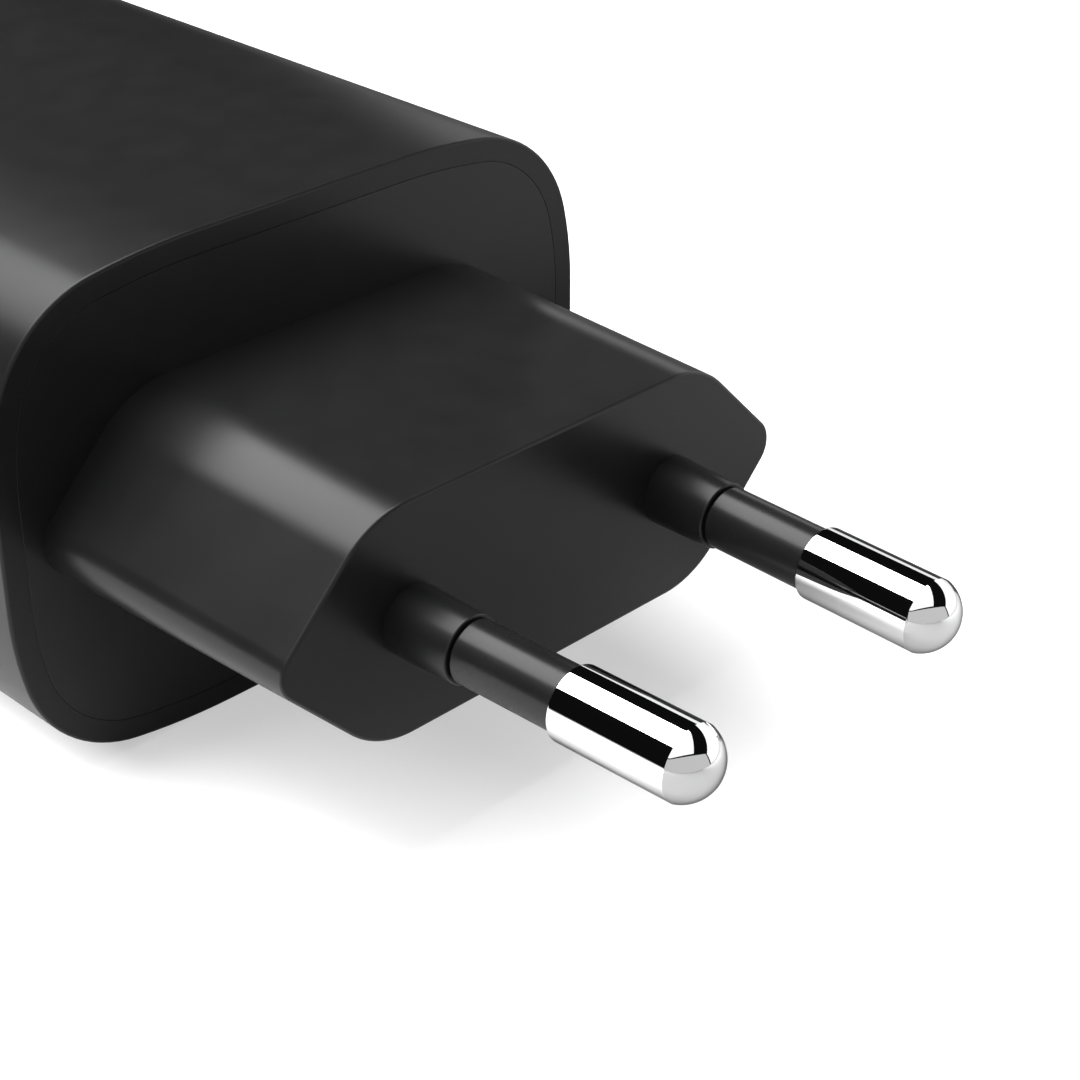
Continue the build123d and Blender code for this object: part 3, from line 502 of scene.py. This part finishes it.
def makePlugCover():
    draft, edge = neck["draft"], neck["faceRound"]
    innerFace = plugFace + neck["faceWall"]
    rings = [upright(neckOutline(neckGrow(y) - neck["wall"]), y) for y in (innerFace, coverSeat)]
    plateFront = bodyFront + neck["plateBreak"]
    rings += [upright(bodyOutline(neck["plateInset"]), y) for y in (coverSeat, plateFront)]
    rings.append(upright(bodyOutline(neck["plateInset"] + neck["plateBreak"]), bodyFront))
    slope = math.radians(draft)
    path = [(neckGrow(bodyFront), bodyFront)]
    faceCentre = neckGrow(plugFace + edge - edge * math.sin(slope)) - edge * math.cos(slope)
    path += arc((faceCentre, plugFace + edge), edge, -draft, -90, neck["roundSteps"])
    rings += [upright(neckOutline(grow), y) for grow, y in path]
    piece = growRings("plugCover", rings)
    collars = [makeCollar(side) for side in ("left", "right")]
    makeActive(piece)
    for each in collars:
        each.select_set(True)
    bpy.ops.object.join()
    for station in (plugFace, innerFace):
        pickOpenEdges(piece, lambda middle: abs(middle.y - station) < openBand)
        bpy.ops.mesh.fill()
    closeAndSmooth(piece, flatAt=(plugFace, bodyFront))
    hand(piece, "charger", "cover_plastic", materials["cover_plastic"], "plug_cover")


# plug pins: bright metal with a domed nose, on a thinner shank with a flange
pin = {
    "radius": 2.0,
    "edge": 0.15,
    "shankRadius": 1.1,
    "tail": 9.5,
    "flangeRadius": 2.4,
    "flangeFront": 2.25,
    "flangeBack": 3.25,
    "around": 96,
    "noseHeight": 1.5,
    "noseSteps": 24,
    "edgeSteps": 4,
    "creaseAngle": 12,
}
# pin sleeves: a black tube over the inner half of each pin, with a thinner liner in the collar
sleeve = {
    "radius": 1.72,
    "linerRadius": 1.3,
    "linerStart": -1.8,
    "start": 4.22,
    "mouthRound": 0.12,
    "mouthSteps": 4,
    "endRound": 0.05,
    "endSteps": 3,
    "around": 72,
}


def bareSpan(side):
    # where the bare metal starts and where its nose starts, along the pin from the engagement face
    bare = mounts[side + "_pin"]
    middle = (Vector(bare["pos_m"]) / mm - pinAxis(side)[0]).length
    half = bare["dims"]["length_mm"] / 2
    return middle - half - pin["edge"], middle + half


def makePin(side):
    base, along = pinAxis(side)
    bareStart, noseStart = bareSpan(side)
    shank, flange = pin["shankRadius"], pin["flangeRadius"]
    path = [(shank, -pin["tail"]), (shank, -pin["flangeBack"]), (flange, -pin["flangeBack"])]
    path += [(flange, -pin["flangeFront"]), (shank, -pin["flangeFront"]), (shank, bareStart)]
    shoulder = (pin["radius"] - pin["edge"], bareStart + pin["edge"])
    path += arc(shoulder, pin["edge"], -90, 0, pin["edgeSteps"])
    domeRadius = (pin["radius"]**2 + pin["noseHeight"]**2) / (2 * pin["noseHeight"])
    rise = math.degrees(math.acos(pin["radius"] / domeRadius))
    nose = arc((0, noseStart + pin["noseHeight"] - domeRadius), domeRadius, rise, 90, pin["noseSteps"])
    path += nose[:-1]
    rings = [pinRing(side, r, t, 1.0, pin["around"]) for r, t in path]
    rings.append([base + along * nose[-1][1]] * pin["around"])
    piece = growRings("plugPin" + side.capitalize(), rings)
    closeAndSmooth(piece, sharpAngle=pin["creaseAngle"])
    hand(piece, "pin_" + side, "pin_plating", materials["pin_plating"], "plug_pin_" + side)


def makeSleeve(side):
    bareStart = bareSpan(side)[0]
    shank, liner = pin["shankRadius"], sleeve["linerRadius"]
    edge, end = sleeve["mouthRound"], sleeve["endRound"]
    path = [(shank, sleeve["linerStart"]), (liner, sleeve["linerStart"]), (liner, sleeve["start"])]
    path += arc((sleeve["radius"] - edge, sleeve["start"] + edge), edge, -90, 0, sleeve["mouthSteps"])
    path += arc((sleeve["radius"] - end, bareStart - end), end, 0, 90, sleeve["endSteps"])
    path += [(shank, bareStart), (shank, sleeve["linerStart"])]
    rings = [pinRing(side, r, t, 1.0, sleeve["around"]) for r, t in path]
    piece = growRings("pinSleeve" + side.capitalize(), rings)
    closeAndSmooth(piece)
    hand(piece, "pin_" + side, "sleeve_plastic", materials["sleeve_plastic"], "pin_sleeve_" + side)


makeHousingShell()
makePlugCover()
for side in ("left", "right"):
    makePin(side)
    makeSleeve(side)

# floor, light and camera, in metres; the shares set the painted light and shade: how pale the floor is
# painted in the charger's reflections only
studio = {
    "floorSize": 6.0,
    "floorColour": 0.55,
    "frontLine": -0.033,
    "rightLine": 0.025,
    "frontShare": 0.44,
    "frontRightShare": 0.9,
    "rightShare": 0.1,
    "poolRadius": 0.08,
    "poolEnd": 0.4,
    "frontTurn": 0.1,
    "soft": 0.004,
    # painted glow of the paper, though it is no lamp: as the camera sees it near the charger and far away,
    # and as the charger's reflections see it
    "farStart": 0.3,
    "farEnd": 1.2,
    "farGlow": 1.0,
    "floorGlowSeen": 0.48,
    "floorGlow": 0.05,
    "skySeen": 1.0,
    "skyDark": 0.004,
}
# softboxes: where each hangs, its size, brightness and aim; turn swings one that looks straight down,
# and hidden keeps one out of the reflections
softboxes = {
    "overhead": dict(
        middle=(-0.14, 0.75, 1.2), size=(1.28, 1.74),
        glow=6.6, aim=(0, 0, -1),
    ),
    "canopy": dict(
        middle=(-0.88, -0.155, 1.15), size=(2.36, 1.37),
        glow=1.15, aim=(0, 0, -1), turn=-28.5,
    ),
    "wall": dict(
        middle=(1.3, -1.05, 0.55), size=(2.7, 1.1),
        glow=1.2, aim=(-1, 0, 0),
    ),
    "wallEnd": dict(
        middle=(1.3, 0.8, 0.37), size=(1.0, 0.36),
        glow=1.2, aim=(-1, 0, 0),
    ),
    "front": dict(
        middle=(-0.65, -1.126, 0.52), size=(3.7, 1.04),
        glow=0.55, aim=(0.5, 0.866, 0),
    ),
    "leftPool": dict(
        middle=(-0.3, 0.2, 0.3), size=(0.3, 0.3),
        glow=13.0, aim=(0, 0, -1), hidden=True,
    ),
}


def makeSoftbox(name, box):
    light = bpy.data.lights.new(name, "AREA")
    light.shape = "RECTANGLE"
    light.size, light.size_y = box["size"]
    light.energy = box["glow"] * math.pi * light.size * light.size_y
    holder = bpy.data.objects.new(name, light)
    bpy.context.scene.collection.objects.link(holder)
    holder.location = box["middle"]
    holder.rotation_mode = "QUATERNION"
    aim = Vector(box["aim"])
    facing = Quaternion((0, 0, 1), math.radians(box.get("turn", 0)))
    if aim.xy.length:
        facing = aim.to_track_quat("-Z", "Y")
    holder.rotation_quaternion = facing
    holder.visible_glossy = not box.get("hidden", False)
    holder.visible_camera = False


def seenOnly(tree, seen, unseen):
    # one value for what the camera sees itself, another for the light it gives the charger
    path = tree.nodes.new("ShaderNodeLightPath")
    pick = tree.nodes.new("ShaderNodeMapRange")
    pick.inputs["To Min"].default_value = unseen
    pick.inputs["To Max"].default_value = seen
    tree.links.new(path.outputs["Is Camera Ray"], pick.inputs["Value"])
    return pick


def ramp(tree, value, low, high, before, after):
    # blends from one level to another while the value goes from low to high
    node = tree.nodes.new("ShaderNodeMapRange")
    node.interpolation_type = "SMOOTHSTEP"
    for name, level in zip(("From Min", "From Max", "To Min", "To Max"), (low, high, before, after)):
        node.inputs[name].default_value = level
    tree.links.new(value, node.inputs["Value"])
    return node


def floorPlace(tree):
    # where a point of the floor lies: across, along, and how far from the charger
    place = tree.nodes.new("ShaderNodeTexCoord").outputs["Object"]
    split = tree.nodes.new("ShaderNodeSeparateXYZ")
    away = tree.nodes.new("ShaderNodeVectorMath")
    away.operation = "LENGTH"
    tree.links.new(place, split.inputs["Vector"])
    tree.links.new(place, away.inputs[0])
    return split.outputs["X"], split.outputs["Y"], away.outputs["Value"]


def paintedReflectionShade(tree, across, along, away):
    # painted light and shade on the paper, seen only in the charger's reflections: a painted pale pool of
    # light behind and to the left, darker further away, painted grey ahead and lighter to the right, and
    # painted dark behind on the right
    soft, right, front = studio["soft"], studio["rightLine"], studio["frontLine"]
    pool = ramp(tree, away, studio["poolRadius"], studio["poolEnd"], 1, studio["rightShare"])
    rear = ramp(tree, across, right - soft, right + soft, 1, studio["rightShare"])
    tree.links.new(pool.outputs["Result"], rear.inputs["To Min"])
    ahead = ramp(tree, across, 0, studio["frontTurn"], studio["frontShare"], studio["frontRightShare"])
    both = ramp(tree, along, front - soft, front + soft, 0, 1)
    tree.links.new(ahead.outputs["Result"], both.inputs["To Min"])
    tree.links.new(rear.outputs["Result"], both.inputs["To Max"])
    return both.outputs["Result"]


def makeStudio():
    deselectAll()
    bpy.ops.mesh.primitive_plane_add(size=studio["floorSize"])
    floor = bpy.context.object
    floor.name = "floor"
    paper = bpy.data.materials.new("paper")
    paper.use_nodes = True
    tree = paper.node_tree
    shader = tree.nodes["Principled BSDF"]
    across, along, away = floorPlace(tree)
    # the painted light and shade goes into the floor colour for the charger's reflections only; the camera
    # sees the plain floor colour
    shade = tree.nodes.new("ShaderNodeMath")
    shade.operation = "MULTIPLY"
    shade.inputs[1].default_value = studio["floorColour"]
    tree.links.new(paintedReflectionShade(tree, across, along, away), shade.inputs[0])
    tone = seenOnly(tree, studio["floorColour"], 0)
    tree.links.new(shade.outputs["Value"], tone.inputs["To Min"])
    tree.links.new(tone.outputs["Result"], shader.inputs["Base Color"])
    shader.inputs["Roughness"].default_value = 1.0
    shader.inputs["Specular IOR Level"].default_value = 0.0
    shader.inputs["Emission Color"].default_value = (1, 1, 1, 1)
    # the paper glows though it is no lamp: painted light that pales its shadows for the camera and grows
    # brighter further away, and a faint painted glow that the charger's reflections see
    glow = seenOnly(tree, 0, studio["floorGlow"])
    far = ramp(tree, away, studio["farStart"], studio["farEnd"], studio["floorGlowSeen"], studio["farGlow"])
    tree.links.new(far.outputs["Result"], glow.inputs["To Max"])
    tree.links.new(glow.outputs["Result"], shader.inputs["Emission Strength"])
    floor.data.materials.append(paper)

    world = bpy.data.worlds.new("studio")
    world.use_nodes = True
    bpy.context.scene.world = world
    tree = world.node_tree
    sky = tree.nodes["Background"]
    strength = seenOnly(tree, studio["skySeen"], studio["skyDark"])
    tree.links.new(strength.outputs["Result"], sky.inputs["Strength"])
    sky.inputs["Color"].default_value = (1, 1, 1, 1)

    for name, box in softboxes.items():
        makeSoftbox(name, box)


# the camera's aim is a point aside from and behind the middle of the engagement face, in millimetres
view = {
    "azimuth": -45.125,
    "elevation": 30.02,
    "distance": 123.26,
    "aside": 0.59,
    "behind": 1.06,
    "lens": 79.14,
    "sensor": 36.0,
    "nearest": 5.0,
}


def makeCamera():
    camera = bpy.data.objects.new("camera", bpy.data.cameras.new("camera"))
    bpy.context.scene.collection.objects.link(camera)
    turn, rise = math.radians(view["azimuth"]), math.radians(view["elevation"])
    back = Vector((math.sin(turn) * math.cos(rise), -math.cos(turn) * math.cos(rise), math.sin(rise)))
    target = Vector((view["aside"], plugFace + view["behind"], midHeight))
    camera.location = (target + back * view["distance"]) * mm
    camera.rotation_mode = "QUATERNION"
    camera.rotation_quaternion = (-back).to_track_quat("-Z", "Y")
    camera.data.lens = view["lens"]
    camera.data.sensor_width = view["sensor"]
    camera.data.clip_start = view["nearest"] * mm
    bpy.context.scene.camera = camera


makeStudio()
makeCamera()
bpy.context.scene.view_settings.view_transform = "Standard"
print("studio ready")
